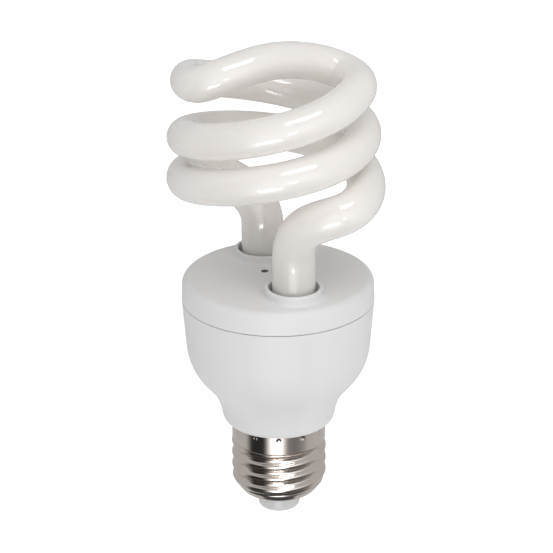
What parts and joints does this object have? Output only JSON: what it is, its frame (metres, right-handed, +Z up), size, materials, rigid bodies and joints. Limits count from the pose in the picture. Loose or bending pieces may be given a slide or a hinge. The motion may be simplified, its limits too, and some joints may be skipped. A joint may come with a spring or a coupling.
{
  "type": "spiral compact fluorescent lamp",
  "caption": "Self-ballasted fluorescent lamp: a white glass tube wound as a double spiral on a round white housing that tapers to a screw cap.",
  "frame": {"origin": "centre of the flat face of the centre contact, at the lamp's lower end", "axes": "+Z up the lamp's axis from the cap to the spiral; -Y towards the front leg of the tube"},
  "size_m": [0.0584, 0.0576, 0.135],
  "materials": {
    "tube_glass": "glossy, phosphor-coated warm white",
    "cement": "matt white lamp cement",
    "white_plastic": "semi-gloss moulded white",
    "nickel": "satin nickel plate",
    "insulator_glass": "opaque white vitrite",
    "contact_metal": "tinned",
    "solder": "bright solder",
    "board": "bare paper laminate",
    "capacitor_sleeve": "dark heat-shrunk sleeve",
    "ferrite": "sintered dark grey",
    "bobbin_plastic": "moulded black",
    "copper_wire": "enamelled copper",
    "transistor_body": "moulded epoxy",
    "diode_body": "moulded epoxy",
    "diode_glass": "small painted glass body",
    "resistor_body": "lacquered",
    "film_green": "dipped resin",
    "film_brown": "dipped resin",
    "sleeve_white": "fibreglass sleeve",
    "lead_insulation": "flexible insulation",
    "wire_metal": "tinned wire"
  },
  "bodies": {
    "root": {"spiral_tube": "tube_glass", "tube_cement_front": "cement", "tube_cement_rear": "cement", "tube_cover": "white_plastic", "lamp_housing": "white_plastic", "screw_shell": "nickel", "cap_insulator": "insulator_glass", "centre_contact": "contact_metal", "contact_solder": "solder", "circuit_board": "board", "filter_capacitor": "capacitor_sleeve", "choke_core_upper": "ferrite", "choke_core_lower": "ferrite", "choke_bobbin": "bobbin_plastic", "choke_winding": "copper_wire", "feedback_core": "ferrite", "feedback_windings": "copper_wire", "drum_core": "ferrite", "drum_winding": "copper_wire", "transistor_high": "transistor_body", "transistor_low": "transistor_body", "rectifier_diodes": "diode_body", "trigger_diode": "diode_glass", "bias_resistors": "resistor_body", "resonance_capacitor": "film_brown", "coupling_capacitor": "film_green", "filament_posts": "wire_metal", "filament_leads": "wire_metal", "fusible_resistor": "sleeve_white", "live_lead": "lead_insulation", "neutral_lead": "lead_insulation", "solder_joints": "solder"}
  },
  "joints": []
}
